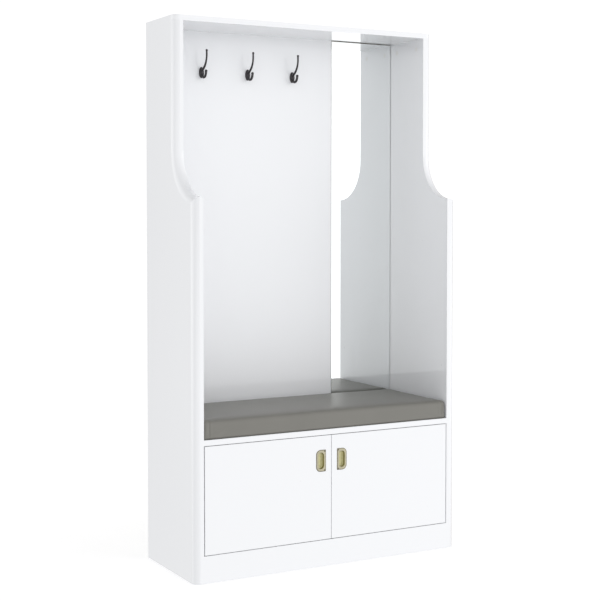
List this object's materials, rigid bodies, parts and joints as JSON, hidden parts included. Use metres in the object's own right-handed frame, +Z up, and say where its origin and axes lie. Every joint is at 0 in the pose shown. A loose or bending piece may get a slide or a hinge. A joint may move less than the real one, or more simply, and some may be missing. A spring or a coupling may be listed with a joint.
{
  "type": "hall tree with storage bench",
  "caption": "Tall white gloss hall tree: open alcove with coat hooks and a slim mirror above a cushioned bench with inset double doors and recessed pulls.",
  "frame": {"origin": "centre of the footprint, on the floor", "axes": "+X to the right as seen from the front, +Y from the front to the back, +Z up"},
  "size_m": [0.99, 0.3815, 1.8],
  "materials": {
    "white_lacquer": "high-gloss white lacquer on fibreboard",
    "backing_board": "raw fibreboard",
    "white_hardboard": "white-faced thin fibreboard, satin",
    "foam_tape": "foam bonding tape",
    "mirror_glass": "silvered float glass, polished edges",
    "leatherette": "grained grey-brown leatherette, soft sheen",
    "antique_brass": "satin antique brass",
    "gunmetal": "dark gunmetal, smooth satin",
    "nickel_steel": "nickel-plated pressed steel",
    "zinc_steel": "bright zinc-plated steel",
    "zinc_alloy": "die-cast zinc",
    "clear_rubber": "clear soft bumper",
    "white_plastic": "moulded white plastic",
    "beech": "fluted beech dowel"
  },
  "bodies": {
    "root": {"side_panel_left": "white_lacquer", "side_panel_right": "white_lacquer", "top_panel": "white_lacquer", "hook_panel": "white_lacquer", "mirror_backing": "backing_board", "mirror_tape": "foam_tape", "mirror_glass": "mirror_glass", "seat_board": "white_lacquer", "center_divider": "white_lacquer", "bottom_board": "white_lacquer", "cabinet_back": "white_hardboard", "plinth_front": "white_lacquer", "plinth_back": "white_lacquer", "plinth_brace": "backing_board", "shelf_left": "white_lacquer", "shelf_right": "white_lacquer", "shelf_pins": "zinc_steel", "seat_cushion": "leatherette", "cushion_base": "backing_board", "cushion_screws": "zinc_steel", "hinge_arms_left": "nickel_steel", "hinge_arms_right": "nickel_steel", "hinge_plates_left": "nickel_steel", "hinge_plates_right": "nickel_steel", "plate_screws": "zinc_steel", "coat_hook_left": "gunmetal", "coat_hook_center": "gunmetal", "coat_hook_right": "gunmetal", "hook_screws": "gunmetal", "cam_discs": "zinc_alloy", "cam_bolts": "zinc_steel", "cam_caps": "white_plastic", "dowels": "beech", "back_screws": "zinc_steel", "cabinet_back_screws": "zinc_steel", "floor_glides": "white_plastic"},
    "door_left": {"door_left": "white_lacquer", "pull_left": "antique_brass", "pull_screws_left": "gunmetal", "door_bumpers_left": "clear_rubber", "hinge_cups_left": "nickel_steel", "cup_screws_left": "zinc_steel", "hinge_pins_left": "zinc_steel"},
    "door_right": {"door_right": "white_lacquer", "pull_right": "antique_brass", "pull_screws_right": "gunmetal", "door_bumpers_right": "clear_rubber", "hinge_cups_right": "nickel_steel", "cup_screws_right": "zinc_steel", "hinge_pins_right": "zinc_steel"}
  },
  "joints": [
    {"name": "door_left_hinge", "type": "hinge", "parent": "root", "child": "door_left", "pos_m": [-0.436, -0.1795, 0.264], "axis": [0, 0, 1], "range_deg": [-95, 0]},
    {"name": "door_right_hinge", "type": "hinge", "parent": "root", "child": "door_right", "pos_m": [0.436, -0.1795, 0.264], "axis": [0, 0, 1], "range_deg": [0, 95]}
  ]
}
